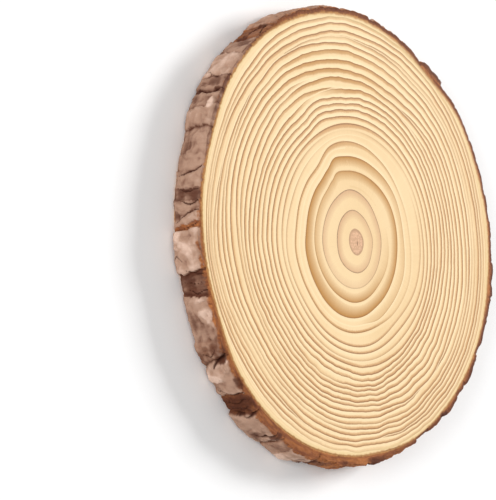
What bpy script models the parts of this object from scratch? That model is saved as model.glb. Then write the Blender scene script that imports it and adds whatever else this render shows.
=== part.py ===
"""A natural wood slice: a cross cut of a trunk, lying flat, with its bark left on.

The slice is one solid. Its two sawn faces are flat and parallel. The wall between them is the bark:
upright plates of differing height, parted by cracks, round a slightly uneven disc of wood. At each
sawn face the bark has crumbled a little below the flat wood.
Metres, +Z up through the show face. The origin is the bottom centre of the slice's box.
"""

import math

import bmesh
import bpy
import numpy as np
from mathutils import Vector, noise

MM = 0.001

# Driving sizes
THICKNESS = 18 * MM
BARK_BASE = 3.0 * MM
LEAST_BARK = 0.7 * MM
RIM_WEAR = 0.9 * MM
RIM_WEAR_HEIGHT = 2.6 * MM
RIM_DROP = 0.7 * MM
RIM_DROP_CHANGE = 0.45 * MM
WANDER = 0.9
ROUGHNESS = 0.35 * MM

# Mesh steps round the slice and up its wall
SEGMENTS = 336
LEVELS = 12

# Radius of the wood under the bark, in mm, every 15 degrees from +X towards +Y
WOOD_RADII = (
    111.5, 110.6, 110.7, 107.6, 108.7, 110.0, 110.6, 111.0,
    111.5, 111.0, 109.0, 109.3, 108.9, 108.6, 111.0, 111.5,
    110.7, 109.2, 108.0, 108.8, 109.0, 110.2, 111.2, 111.1,
)

# Bark plates: start (degrees), height over the base bark (mm), rise across the plate (mm),
# lean of its first edge (degrees, bottom to top), depth of the crack at that edge (mm)
PLATES = (
    (0.0, 0.0, 0.2, 0.3, 1.9), (9.0, 0.2, 0.4, -1.0, 0.7), (21.5, -0.2, 0.2, 0.8, 1.5),
    (32.0, 0.3, 0.5, 1.2, 0.8), (40.5, 2.3, -0.5, -0.5, 0.7), (49.5, 0.5, 0.4, 1.5, 2.2),
    (60.0, -0.1, 0.2, -0.7, 0.8), (67.5, 0.1, 0.3, 0.6, 0.6), (73.3, 0.1, 0.3, -1.2, 2.2),
    (84.0, 0.5, 0.2, 0.9, 0.8), (95.5, 0.5, 0.3, 1.0, 1.0), (104.0, 0.5, -0.7, 2.0, 0.9),
    (112.5, -0.9, 0.2, -3.2, 2.0), (119.0, -0.6, 0.6, -1.5, 1.8), (126.0, 0.2, 0.3, 0.5, 0.6),
    (134.0, 0.2, -0.2, -1.5, 1.4), (138.9, 0.6, 0.1, 0.0, 2.3), (143.5, 0.9, -0.4, -1.5, 0.8),
    (148.5, -0.7, -0.5, -1.0, 0.8), (159.8, -1.0, 0.2, -1.1, 1.6), (164.3, -1.7, 0.2, 0.5, 1.0),
    (167.6, -1.0, 0.0, 0.6, 1.6), (170.4, -0.7, 0.2, -1.8, 1.4), (172.8, -1.5, 0.0, -1.4, 0.6),
    (174.2, 0.7, 0.7, -0.6, 0.7), (184.7, -0.8, -0.3, -0.8, 1.2), (190.6, 0.5, 0.4, 0.5, 1.5),
    (201.0, 1.4, 0.2, -0.5, 0.7), (206.8, 0.8, 0.5, -2.4, 2.4), (216.5, 1.0, 0.5, -0.5, 1.5),
    (222.0, 3.4, -0.6, 0.6, 1.5), (233.0, 2.9, 0.4, -0.5, 2.1), (238.5, 3.0, -0.4, -1.5, 0.7),
    (248.0, 1.7, 0.5, -3.4, 2.6), (254.0, 2.6, 0.0, -2.0, 0.9), (262.0, 2.8, 0.2, -1.0, 0.7),
    (269.0, 2.6, -0.8, -3.8, 2.6), (278.0, 1.1, -0.6, -1.2, 0.9), (286.0, -0.2, 0.5, 0.6, 1.5),
    (292.0, 0.9, 0.4, -0.8, 0.7), (299.5, 1.6, -0.6, 0.5, 1.5), (307.0, 1.0, 0.6, 1.2, 1.2),
    (313.5, 2.0, -0.7, -0.9, 0.9), (321.5, 0.7, 0.3, 0.7, 0.9), (332.0, 1.3, 0.5, -1.1, 0.8),
    (338.5, 1.8, -0.8, 0.6, 1.9), (348.0, 0.3, -0.3, 1.0, 0.9),
)

# Raised scales on the plates: middle (degrees, mm up from the bottom), half width, half height, rise (mm)
SCALES = (
    (142.3, 14.3, 3.0, 2.2, 0.7), (146.0, 8.5, 3.8, 5.5, 0.6), (153.5, 10.5, 6.5, 6.0, 0.5),
    (177.0, 4.0, 5.0, 3.5, 0.5), (180.5, 13.0, 4.5, 3.8, 0.4), (191.2, 12.6, 1.2, 2.2, 0.9),
    (195.5, 11.5, 4.0, 3.6, 0.6), (211.5, 5.0, 2.6, 5.0, 0.6), (209.0, 14.0, 3.2, 2.8, 0.6),
    (229.0, 7.0, 4.2, 5.5, 0.5), (241.0, 6.5, 5.0, 5.0, 0.5), (257.0, 9.0, 5.0, 4.0, 0.6),
    (17.0, 8.0, 5.0, 5.0, 0.5), (45.0, 10.0, 5.5, 4.0, 0.6), (64.0, 6.0, 4.5, 5.0, 0.5),
    (90.0, 10.0, 6.0, 4.5, 0.5), (297.0, 9.0, 4.0, 4.5, 0.5), (327.0, 8.0, 6.0, 5.0, 0.5),
)


def smooth_step(edge_low, edge_high, value):
    """Rise from 0 to 1 between two edges, with level ends."""
    share = np.clip((value - edge_low) / (edge_high - edge_low), 0.0, 1.0)
    return share * share * (3.0 - 2.0 * share)


def wood_radius(angle):
    """Radius of the wood at an angle in degrees, as a smooth closed curve through WOOD_RADII."""
    count = len(WOOD_RADII)
    place = (angle % 360.0) / 360.0 * count
    first = np.floor(place).astype(int)
    share = place - first
    before, start, end, after = (np.take(WOOD_RADII, first + step, mode="wrap") for step in (-1, 0, 1, 2))
    slope_start = 0.5 * (end - before)
    slope_end = 0.5 * (after - start)
    square, cube = share ** 2, share ** 3
    curve = (2 * cube - 3 * square + 1) * start + (cube - 2 * square + share) * slope_start
    curve += (3 * square - 2 * cube) * end + (cube - square) * slope_end
    return curve * MM


def noise_at(angle, height, turns, layers, offset):
    """Smooth noise on the wall that closes on itself; turns and layers set how fine it is."""
    flat = zip(np.radians(angle).ravel(), height.ravel())
    values = [
        noise.noise(Vector((math.cos(a) * turns, math.sin(a) * turns, h / THICKNESS * layers + offset)))
        for a, h in flat
    ]
    return np.array(values).reshape(angle.shape)


def bark_radius(angle, height):
    """Radius of the bark's surface at an angle (degrees) and a height (m) over the bottom face."""
    core = wood_radius(angle)
    rise = height / THICKNESS - 0.5
    angle = angle + WANDER * noise_at(angle, height, 7.0, 2.2, 3.7)
    starts, levels, tilts, leans, cracks = np.array(PLATES).T
    relief = np.zeros(angle.shape)
    crack = np.zeros(angle.shape)
    for index in range(len(PLATES)):
        after = (index + 1) % len(PLATES)
        span = (starts[after] - starts[index]) % 360.0
        first = starts[index] + leans[index] * rise
        span = span + (leans[after] - leans[index]) * rise
        along = (angle - first + 30.0) % 360.0 - 30.0
        share = along / span
        inside = (share >= 0.0) & (share < 1.0)
        plate = levels[index] + tilts[index] * (share - 0.5)
        relief = np.where(inside, plate, relief)
        reach = np.abs((angle - first + 180.0) % 360.0 - 180.0) * np.radians(core / MM)
        width = 0.7 + 0.45 * cracks[index]
        crack = np.maximum(crack, cracks[index] * (1.0 - smooth_step(0.0, width * 1.6, reach)))
    for middle, place, half_width, half_height, lift in SCALES:
        across = ((angle - middle + 180.0) % 360.0 - 180.0) * np.radians(core / MM) / half_width
        upward = (height / MM - place) / half_height
        relief = relief + lift * (1.0 - smooth_step(0.75, 1.1, np.hypot(across, upward)))
    rough = noise_at(angle, height, 14.0, 4.0, 9.1) + 0.6 * noise_at(angle, height, 34.0, 7.0, 1.3)
    radius = core + BARK_BASE + (relief - crack) * MM + ROUGHNESS * rough
    edge = np.minimum(height, THICKNESS - height)
    radius = radius - RIM_WEAR * (1.0 - smooth_step(0.0, RIM_WEAR_HEIGHT, edge))
    return np.maximum(radius, core + LEAST_BARK)


def wall_height(angle, level):
    """Height of a row of the wall: rows lie closer by the rims, and the rims stand off the sawn faces."""
    even = 2.0 * level / LEVELS - 1.0
    eased = 0.72 * even + 0.28 * np.sin(even * np.pi / 2.0)
    drop = RIM_DROP + RIM_DROP_CHANGE * noise_at(angle, np.sign(even) * THICKNESS, 11.0, 1.0, 5.2)
    return 0.5 * THICKNESS + (0.5 * THICKNESS - drop) * eased


def outline_middle():
    """Middle of the box round the wall, taken over the mesh's own directions."""
    angle, level = np.meshgrid(np.arange(SEGMENTS) * 360.0 / SEGMENTS, np.arange(LEVELS + 1.0))
    radius = bark_radius(angle, wall_height(angle, level))
    x, y = radius * np.cos(np.radians(angle)), radius * np.sin(np.radians(angle))
    return 0.5 * (x.min() + x.max()), 0.5 * (y.min() + y.max())


def build_slice():
    """Model the slice from a plain disc: cut its wall in rows, inset its ends, then push all to shape."""
    mesh = bmesh.new()
    bmesh.ops.create_cone(
        mesh, cap_ends=True, cap_tris=False, segments=SEGMENTS, radius1=0.115, radius2=0.115, depth=THICKNESS
    )
    upright = [edge for edge in mesh.edges if abs(edge.verts[0].co.z - edge.verts[1].co.z) > THICKNESS / 2]
    bmesh.ops.subdivide_edges(mesh, edges=upright, cuts=LEVELS - 1, use_grid_fill=True)
    wall = list(mesh.verts)
    ends = [face for face in mesh.faces if len(face.verts) == SEGMENTS]
    bmesh.ops.inset_individual(mesh, faces=ends, thickness=0.004, use_even_offset=True)

    middle_x, middle_y = outline_middle()
    angle = np.array([math.degrees(math.atan2(vert.co.y, vert.co.x)) % 360.0 for vert in wall])
    level = np.array([float(round((vert.co.z / THICKNESS + 0.5) * LEVELS)) for vert in wall])
    height = wall_height(angle, level)
    for vert, turn, up, reach in zip(wall, np.radians(angle), height, bark_radius(angle, height)):
        vert.co = (reach * math.cos(turn) - middle_x, reach * math.sin(turn) - middle_y, up)
    for face in ends:
        up = THICKNESS if face.verts[0].co.z > 0.0 else 0.0
        for vert in face.verts:
            turn = math.atan2(vert.co.y, vert.co.x)
            reach = float(wood_radius(np.array(math.degrees(turn))))
            vert.co = (reach * math.cos(turn) - middle_x, reach * math.sin(turn) - middle_y, up)
    bmesh.ops.recalc_face_normals(mesh, faces=mesh.faces)
    data = bpy.data.meshes.new("wood_slice")
    mesh.to_mesh(data)
    mesh.free()
    data.shade_smooth()
    data.set_sharp_from_angle(angle=math.radians(38.0))
    return data


def slice_material():
    """Pale, dry, matt softwood."""
    material = bpy.data.materials.new("wood")
    material.use_nodes = True
    shader = material.node_tree.nodes["Principled BSDF"]
    shader.inputs["Base Color"].default_value = (0.86, 0.67, 0.42, 1.0)
    shader.inputs["Roughness"].default_value = 0.62
    shader.inputs["Metallic"].default_value = 0.0
    return material


def main():
    for item in list(bpy.data.objects):
        bpy.data.objects.remove(item)
    group = bpy.data.collections.new("wood_slice")
    bpy.context.scene.collection.children.link(group)
    body = bpy.data.objects.new("wood_slice", build_slice())
    body.data.materials.append(slice_material())
    group.objects.link(body)


main()
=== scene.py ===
"""Looks of the wood slice: sawn faces with growth rings, a ring of sawn bark, and a wall of bark plates."""

import math

import bmesh
import bpy
import numpy as np
from mathutils import Matrix, Vector, noise


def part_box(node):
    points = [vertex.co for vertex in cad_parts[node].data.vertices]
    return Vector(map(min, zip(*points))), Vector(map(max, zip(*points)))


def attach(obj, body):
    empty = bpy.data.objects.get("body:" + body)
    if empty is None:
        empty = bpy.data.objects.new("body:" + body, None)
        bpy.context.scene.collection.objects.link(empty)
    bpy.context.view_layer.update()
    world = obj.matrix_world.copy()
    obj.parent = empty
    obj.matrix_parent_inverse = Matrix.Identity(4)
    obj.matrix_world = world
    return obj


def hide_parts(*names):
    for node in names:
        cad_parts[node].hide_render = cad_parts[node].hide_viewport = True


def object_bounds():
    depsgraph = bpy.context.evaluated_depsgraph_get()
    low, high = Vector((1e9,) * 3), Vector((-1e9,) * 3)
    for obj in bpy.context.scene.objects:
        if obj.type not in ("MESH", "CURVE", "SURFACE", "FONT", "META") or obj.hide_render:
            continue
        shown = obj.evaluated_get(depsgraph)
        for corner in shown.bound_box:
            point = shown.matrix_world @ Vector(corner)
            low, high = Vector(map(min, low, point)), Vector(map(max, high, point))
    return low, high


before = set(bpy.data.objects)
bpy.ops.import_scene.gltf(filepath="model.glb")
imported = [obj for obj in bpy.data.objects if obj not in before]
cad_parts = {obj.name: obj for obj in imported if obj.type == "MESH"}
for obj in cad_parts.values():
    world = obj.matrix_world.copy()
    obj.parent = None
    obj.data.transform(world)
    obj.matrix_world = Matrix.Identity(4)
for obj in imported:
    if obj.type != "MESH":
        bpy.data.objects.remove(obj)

CAD_BOX = [list(corner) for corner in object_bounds()]
MM = 0.001

# Sizes that the solid is built from, in its own frame
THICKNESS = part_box("wood_slice")[1][2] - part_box("wood_slice")[0][2]
BARK_BASE = 3 * MM
LEAST_BARK = 0.7 * MM
RIM_WEAR = 0.9 * MM
RIM_WEAR_HEIGHT = 2.6 * MM
RIM_DROP = 0.7 * MM
RIM_DROP_CHANGE = 0.45 * MM
WANDER = 0.9
ROUGHNESS = 0.35 * MM
SOLID_SEGMENTS = 336
SOLID_LEVELS = 12

# Radius of the wood under the bark, in mm, every 15 degrees from +X towards +Y
WOOD_RADII = (
    111.5, 110.6, 110.7, 107.6, 108.7, 110, 110.6, 111,
    111.5, 111, 109, 109.3, 108.9, 108.6, 111, 111.5,
    110.7, 109.2, 108, 108.8, 109, 110.2, 111.2, 111.1,
)

# Bark plates: start (degrees), height over the base bark (mm), rise across the plate (mm),
# lean of its first edge (degrees, bottom to top), depth of the crack at that edge (mm)
PLATES = (
    (0, 0, 0.2, 0.3, 1.9), (9, 0.2, 0.4, -1, 0.7), (21.5, -0.2, 0.2, 0.8, 1.5),
    (32, 0.3, 0.5, 1.2, 0.8), (40.5, 2.3, -0.5, -0.5, 0.7), (49.5, 0.5, 0.4, 1.5, 2.2),
    (60, -0.1, 0.2, -0.7, 0.8), (67.5, 0.1, 0.3, 0.6, 0.6), (73.3, 0.1, 0.3, -1.2, 2.2),
    (84, 0.5, 0.2, 0.9, 0.8), (95.5, 0.5, 0.3, 1, 1), (104, 0.5, -0.7, 2, 0.9),
    (112.5, -0.9, 0.2, -3.2, 2), (119, -0.6, 0.6, -1.5, 1.8), (126, 0.2, 0.3, 0.5, 0.6),
    (134, 0.2, -0.2, -1.5, 1.4), (138.9, 0.6, 0.1, 0, 2.3), (143.5, 0.9, -0.4, -1.5, 0.8),
    (148.5, -0.7, -0.5, -1, 0.8), (159.8, -1, 0.2, -1.1, 1.6), (164.3, -1.7, 0.2, 0.5, 1),
    (167.6, -1, 0, 0.6, 1.6), (170.4, -0.7, 0.2, -1.8, 1.4), (172.8, -1.5, 0, -1.4, 0.6),
    (174.2, 0.7, 0.7, -0.6, 0.7), (184.7, -0.8, -0.3, -0.8, 1.2), (190.6, 0.5, 0.4, 0.5, 1.5),
    (201, 1.4, 0.2, -0.5, 0.7), (206.8, 0.8, 0.5, -2.4, 2.4), (216.5, 1, 0.5, -0.5, 1.5),
    (222, 3.4, -0.6, 0.6, 1.5), (233, 2.9, 0.4, -0.5, 2.1), (238.5, 3, -0.4, -1.5, 0.7),
    (248, 1.7, 0.5, -3.4, 2.6), (254, 2.6, 0, -2, 0.9), (262, 2.8, 0.2, -1, 0.7),
    (269, 2.6, -0.8, -3.8, 2.6), (278, 1.1, -0.6, -1.2, 0.9), (286, -0.2, 0.5, 0.6, 1.5),
    (292, 0.9, 0.4, -0.8, 0.7), (299.5, 1.6, -0.6, 0.5, 1.5), (307, 1, 0.6, 1.2, 1.2),
    (313.5, 2, -0.7, -0.9, 0.9), (321.5, 0.7, 0.3, 0.7, 0.9), (332, 1.3, 0.5, -1.1, 0.8),
    (338.5, 1.8, -0.8, 0.6, 1.9), (348, 0.3, -0.3, 1, 0.9),
)

# Raised scales on the plates: middle (degrees, mm up from the bottom), half width, half height, rise (mm)
SCALES = (
    (142.3, 14.3, 3, 2.2, 0.7), (146, 8.5, 3.8, 5.5, 0.6), (153.5, 10.5, 6.5, 6, 0.5),
    (177, 4, 5, 3.5, 0.5), (180.5, 13, 4.5, 3.8, 0.4), (191.2, 12.6, 1.2, 2.2, 0.9),
    (195.5, 11.5, 4, 3.6, 0.6), (211.5, 5, 2.6, 5, 0.6), (209, 14, 3.2, 2.8, 0.6),
    (229, 7, 4.2, 5.5, 0.5), (241, 6.5, 5, 5, 0.5), (257, 9, 5, 4, 0.6),
    (17, 8, 5, 5, 0.5), (45, 10, 5.5, 4, 0.6), (64, 6, 4.5, 5, 0.5),
    (90, 10, 6, 4.5, 0.5), (297, 9, 4, 4.5, 0.5), (327, 8, 6, 5, 0.5),
)

# Looks of each plate in turn: tone from dark to pale, and how far the outer bark has flaked off it
PLATE_LOOKS = (
    (0.1, 0.2), (0.3, 0), (-0.2, 0.3), (0.2, 0), (0.5, 0), (-0.3, 0.4),
    (0, 0.1), (0.3, 0), (-0.1, 0.3), (0.2, 0.1), (0.1, 0.2), (0, 0.2),
    (-0.6, 0.4), (0, 0), (0.6, 0), (-0.25, 0), (-0.1, 0), (0.15, 0),
    (0.1, 0), (0.15, 0), (-0.5, 0), (-0.05, 0), (0.2, 0), (0.2, 1),
    (0.4, 0), (-0.75, 0.05), (0.1, 0), (-0.35, 0.1), (0.25, 0), (-1.2, 0.4),
    (0.2, 0), (-0.1, 0.1), (0.5, 0), (-0.6, 0.5), (-0.1, 0.9), (0, 1),
    (-0.2, 0.9), (0.1, 0.7), (-0.2, 0.4), (0.2, 0.1), (0.4, 0), (-0.3, 0.3),
    (0.3, 0), (0, 0.2), (0.4, 0), (-0.1, 0.3), (0.2, 0),
)

# Cracks in the plates: start (degrees, mm up), middle, end, half width (mm), depth (mm)
CRACKS = (
    (117.5, 16.5, 112, 12.5, 116, 8, 0.5, 1.4), (134.3, 17.5, 133.6, 9, 132.4, 1.5, 0.12, 0.5),
    (138.3, 17.3, 138.9, 11, 138.5, 2.5, 0.6, 1.6), (158.9, 16.5, 160, 10.5, 161.3, 2, 0.32, 1),
    (164.2, 16.5, 165.3, 10, 164.6, 4, 0.35, 1), (167.2, 16.8, 168.3, 12, 167.4, 6, 0.35, 1.1),
    (169.6, 17, 170.3, 9, 172.8, 3, 0.26, 0.8), (172.6, 16, 173.6, 10, 174.4, 5, 0.2, 0.4),
    (184.9, 17, 185.2, 12, 184.2, 7.5, 0.2, 0.7), (182, 6, 180.5, 3, 181.5, 0.8, 0.25, 0.6),
    (186.8, 15.5, 187.6, 9, 186.8, 3.5, 0.12, 0.4), (189.2, 16.5, 190, 10, 189, 5, 0.3, 0.7),
    (204.9, 17, 206.5, 12.5, 208.4, 7, 0.75, 1.5), (203.6, 12.5, 205.6, 9, 204.8, 4.5, 0.22, 0.5),
    (216.2, 17, 216.6, 10, 215, 2.5, 0.4, 1.2), (218.3, 16, 219, 9, 218.4, 3, 0.35, 0.9),
    (220.2, 15, 221, 9, 220.2, 4, 0.3, 0.8), (222.4, 17, 223, 11, 222, 5, 0.45, 1.1),
    (232.6, 16, 233.2, 9, 232.2, 3, 0.3, 0.9), (230.6, 17.6, 230.8, 13, 229.6, 6, 0.5, 1.3),
    (247, 9.5, 248.6, 5.5, 251.6, 1.8, 0.9, 1.6), (249.5, 13, 251, 10.5, 254, 9.5, 0.35, 0.8),
    (265.6, 17.2, 268.6, 12, 273.4, 7, 0.9, 1.6), (259, 6, 262, 4.5, 266, 5.5, 0.3, 0.6),
)

# Directions that these cracks cover, in degrees; past them each plate has one at its first edge
CRACKS_FROM = 108
CRACKS_TO = 280

# Worn or stained patches and painted highlights: middle (degrees, mm up), half width, half height (mm),
# change of tone
WORN_PATCHES_AND_HIGHLIGHTS = (
    (106.8, 6, 4.4, 4, 0.9), (110.5, 3.5, 3, 2, 0.5),
    (128.5, 12, 6, 5, 0.2), (131.5, 4, 4, 3, 0.35), (121.5, 11, 3, 5, -0.25),
    (142.7, 14.6, 2.3, 1.7, 1.3), (146.5, 8, 2.2, 2.6, 0.3), (147.6, 13, 2.4, 1.8, -0.4),
    (157.4, 14.5, 2.6, 2.6, 0.45), (154, 6, 5, 4, -0.1), (163.3, 14.6, 2.4, 2, 0.6),
    (169.2, 8, 2.6, 4, 0.35), (171.5, 12, 2, 3, 0.3), (175.6, 3.6, 2.6, 2.6, 0.7),
    (179, 10, 3.6, 4.2, 0.75), (182.6, 12.5, 3, 2.6, 0.45), (176.5, 13, 3.4, 3, -0.25),
    (183.4, 4.5, 3, 2.6, 0.25), (187, 13, 3, 3.5, 0.35), (191.4, 12.8, 1.4, 2, 0.5),
    (195.4, 13, 3.2, 4, 1.2), (197.6, 14, 1.4, 2.6, 0.6), (196.5, 5, 4.5, 3.4, -0.35),
    (201.5, 13, 3, 3, -0.2), (204.9, 14.2, 1.2, 1.4, 0.8), (206.4, 15.6, 2.6, 1.6, 1.1),
    (208.8, 11, 2.6, 3.2, 0.3), (211.6, 4.8, 1.9, 4.4, 2.1), (209.6, 3, 2, 1.6, 0.8),
    (213.6, 11, 3, 4, -0.15), (228.8, 6.5, 3.6, 3.2, -0.55), (224.8, 12, 4, 4, 0.25),
    (231, 12.5, 2.6, 2.6, 0.2), (239, 4, 9, 3.2, 1), (243.8, 10, 3, 2, 0.5),
    (256, 4, 6, 2, 0.5), (262, 3, 5, 1.8, 0.4),
)

# Dark red-brown stains, in the same way, with how strong they are; the high ones reach the rim
STAINS = (
    (113, 12, 2.6, 2.6, 0.9), (115.5, 9.5, 3.2, 3, 1), (118, 6, 2.4, 3.6, 0.9),
    (138.2, 15, 1.6, 2.6, 0.7), (165.6, 9, 2.6, 5.5, 0.35), (189.4, 8, 1.6, 6, 0.4),
    (204.2, 14, 4.4, 4.2, 0.5), (206.6, 12.5, 2, 3.6, 0.8), (213.4, 16.6, 3.6, 1.8, 0.8),
    (219.2, 9.5, 5.4, 10.5, 0.9), (231.6, 15.5, 1.9, 3.2, 0.85), (244, 11, 1.6, 2.6, 0.6),
    (248.4, 6.5, 4.2, 5.6, 1), (256.6, 16.6, 2.2, 2, 0.6), (268.6, 16.4, 5, 2.4, 0.8),
    (270.6, 12.5, 5, 5.6, 1), (290.6, 16.4, 3.2, 3, 0.75), (291, 17.5, 2.6, 2.2, 0.9),
    (300, 17, 3, 3, 1), (300.6, 16.8, 2.2, 3.4, 1), (317, 17.6, 4, 1.6, 0.6),
)
RIM_STAIN_HEIGHT = 17.5

# Where scales, patches and stains start to fade and where they end, as shares of their half sizes
SCALE_EDGE = (0.75, 1.1)
PATCH_EDGE = (0.45, 1.55)
STAIN_EDGE = (0.65, 1.25)

# Radius at which the widths of patches, of flakes, and of stains and cracks hold, in mm
PATCH_RADIUS = 112
FLAKE_RADIUS = 113
STAIN_RADIUS = 114

# Flakes that tile the wall: number round it, number from bottom to top, and seed of their chance
BROAD_FLAKES = (96, 3, 5)
FINE_FLAKES = (230, 6, 11)

# Rows and columns each way over which the wall is smoothed, to find its hollows and its humps, which get
# painted shade and painted highlights
SMOOTHING = (9, 5)

# Width of the brown inner bark that shows on the sawn face, in mm, every 15 degrees
BROWN_WIDTHS = (
    2.8, 2.6, 2.8, 3, 3.4, 3.8, 4, 3.2, 1, 0.7, 0.7, 1.2,
    2, 2.6, 3.2, 6, 6.5, 6, 5.5, 5, 4.2, 3.4, 3, 2.8,
)

# How far the brown of the inner bark reaches in over the wood's outline, in mm, every 15 degrees
BROWN_REACH = (
    1.4, 1.2, 1.1, 1.2, 1.3, 1.1, 0.8, 0.4, 0, 0, 0, 0,
    0, 0, 0, 0, 0, 0, 0, 0, 0.1, 0.6, 1, 1.3,
)

# How far down the wall from the top rim the inner bark is bare, in mm, every 15 degrees
BARE_DROPS = (
    1.5, 1, 1.2, 1.6, 1, 0.8, 1.4, 0.6, -0.6, -0.6, -0.6, 0.2,
    1.2, 1.6, 1.4, 1.2, 2, 7, 12, 8, 4, 2.4, 1.4, 1.2,
)

# Direction round which the inner bark is redder, with its reach, in degrees
RED_SIDE = (216, 34)

# Direction round which the outer bark stands open at the rim, and how far from it (degrees) it folds shut
OPEN_SIDE = 195
OPEN_REACH = (62, 98)

# Pith, where the growth rings start, off the middle of the outline
PITH = (0.4 * MM, -3.9 * MM)

# Inner growth rings: radius of each dark line from the pith, in mm, at even steps from +X towards +Y
INNER_RINGS = (
    (5.9, 6, 6.3, 6.7, 6.3, 5.6, 5.3, 5.4, 6, 6.5, 6.2, 5.9),
    (13.2, 13.3, 14.5, 16.1, 15.6, 14.8, 14.6, 15.4, 15.3, 15.2, 14.2, 12.9),
    (20, 20.8, 23.6, 26.2, 25.4, 25.2, 25.6, 24.8, 23.9, 22.6, 20.8, 19.6),
)

# The next three rings are one that winds inward, turn by turn, so their values run from the seam, straight
# above the pith, every 15 degrees, all the way round
WINDING_RINGS = (
    (35.5, 36, 32.6, 31.8, 31.4, 31.4, 31.5, 31.3, 31, 30.8, 30.5, 30.2, 29.2,
     27.8, 26.5, 26.1, 26, 25.6, 25.2, 24.8, 24.6, 24.8, 25.4, 26.2, 26.9),
    (42.7, 42.9, 38.8, 38.2, 37.8, 37.6, 38.6, 38.6, 38.5, 38.8, 38.8, 38, 36.6,
     34.7, 33.7, 33, 32.6, 32.4, 32.8, 33.6, 34.3, 34.5, 34.6, 35, 35.5),
    (46.5, 46.3, 42, 41.6, 41.4, 41.3, 42.4, 42.4, 42.2, 42.3, 42.3, 41.6, 40.4,
     40.8, 39.9, 39.6, 39.6, 38.5, 37.9, 38.8, 40.2, 40.9, 41.3, 42.1, 42.7),
)
WINDING_DARKNESS = (
    (0.8, 0.75, 0.6, 0.6, 0.6, 0.6, 0.6, 0.65, 0.7, 0.8, 0.85, 0.9, 0.9,
     0.75, 0.6, 0.4, 0.3, 0.2, 0.1, 0, 0, 0, 0, 0, 0),
    (1, 1, 1, 1, 1, 1, 1, 1, 1, 1, 1, 1, 1,
     1, 0.95, 0.95, 0.95, 0.95, 0.95, 0.9, 0.9, 0.95, 0.95, 0.85, 0.8),
    (0, 0, 0, 0, 0, 0, 0, 0, 0, 0, 0, 0, 0.1,
     0.35, 0.4, 0.35, 0.35, 0.35, 0.4, 0.4, 0.5, 0.7, 0.8, 0.95, 1),
)
SEAM = 90

# Rings past the winding one, every 15 or 30 degrees from +X
MIDDLE_RINGS = (
    (43, 43.5, 44.3, 45.9, 47.5, 49.2, 50.1, 49.4, 45.3, 45.2, 45.2, 45.1,
     46.2, 45.8, 45.4, 45.7, 45.8, 45.3, 44.2, 43.6, 44.2, 44.6, 44.9, 43.8),
    (51.4, 52, 52.5, 53, 51, 50.6, 52.5, 50.8, 51.6, 51.5, 48.6, 50.9),
    (54, 55, 55.3, 55.7, 54.8, 54.8, 55.4, 53.5, 54.8, 55, 53.2, 54.9),
    (57.3, 58.2, 58.8, 58.9, 57.9, 58.3, 59.3, 57.3, 58.2, 58.6, 57.5, 57.8),
)

# How dark each ring's line is, at even steps of the full turn
INNER_DARKNESS = (
    (0.6,),
    (0.6, 0.65, 0.75, 0.8, 0.9, 0.95, 0.95, 0.9, 0.85, 0.8, 0.7, 0.6),
    (0.75, 0.8, 0.85, 0.9, 0.85, 0.75, 0.75, 0.5, 0.45, 0.4, 0.5, 0.65),
)
MIDDLE_DARKNESS = (
    (0.2, 0.2, 0.3, 0.5, 0.6, 0.7, 0.8, 0.85, 0.85, 0.9, 0.85, 0.8,
     0.8, 0.85, 0.85, 0.85, 0.85, 0.95, 0.95, 0.6, 0.35, 0.25, 0.2, 0.2),
    (0.4, 0, 0, 0, 0.15, 0.45, 0.4, 0.6, 0.9, 0.9, 0.55, 0.5),
    (0.6, 0.25, 0.35, 0.05, 0.35, 0.8, 0.45, 0.6, 0.9, 0.9, 0.8, 0.7),
    (0.7, 0.7, 0.9, 1, 0.9, 0.75, 0.9, 0.8, 0.4, 0.35, 0.6, 0.8),
)

# Width of each of these rings' dark part, in mm, and its kind, as in ring_lines
RING_WIDTHS = (1.6, 4.6, 4.6, 5, 5, 4, 1.7, 1.7, 1.7, 1.7)
RING_KINDS = (0, 0, 0, 1, 1, 1, 1.5, 2, 2, 2)

# Short bends of these rings: number from 0, direction and reach (degrees), shift (mm)
RING_BENDS = ((3, 110.5, 4, -0.7), (4, 110.5, 5, -0.9), (4, 101, 5, 0.2))

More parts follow.
